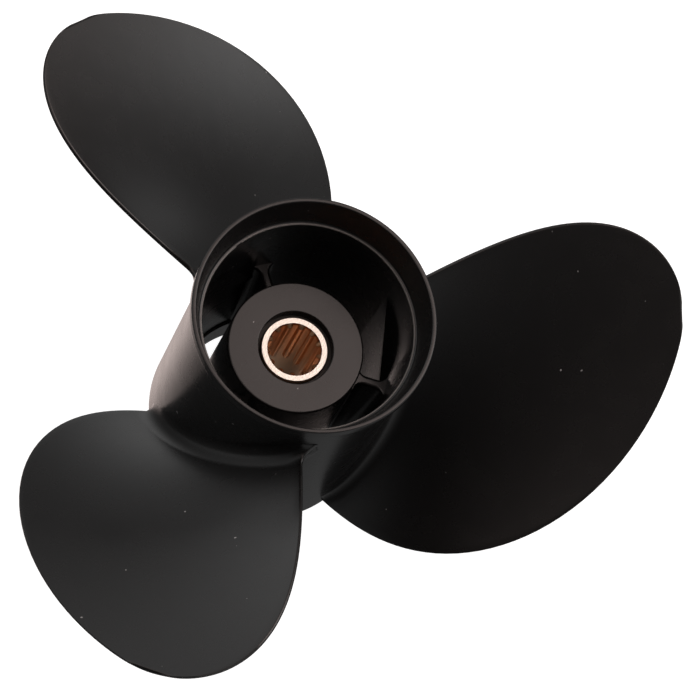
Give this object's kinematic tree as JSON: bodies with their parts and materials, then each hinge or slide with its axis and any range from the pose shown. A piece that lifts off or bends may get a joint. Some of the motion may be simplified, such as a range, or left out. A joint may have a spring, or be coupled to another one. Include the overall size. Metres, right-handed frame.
{
  "type": "outboard motor propeller",
  "caption": "Right-hand boat propeller for an outboard motor: a cast barrel with wide raked blades, and a rubber-cushioned splined hub inside the exhaust passage.",
  "frame": {"origin": "on the shaft axis, in the plane of the barrel's forward end, which the propeller stands on", "axes": "+Z along the shaft axis and aft, away from the motor; the first blade's centre line is 9.7 degrees counterclockwise from +X as seen from aft"},
  "size_m": [0.2509, 0.2682, 0.118],
  "materials": {
    "black_paint": "satin black paint on cast aluminium",
    "rubber": "moulded black rubber",
    "brass": "machined end faces, broached splines"
  },
  "bodies": {
    "root": {"propeller_casting": "black_paint", "rubber_bushing": "rubber", "splined_sleeve": "brass"}
  },
  "joints": []
}
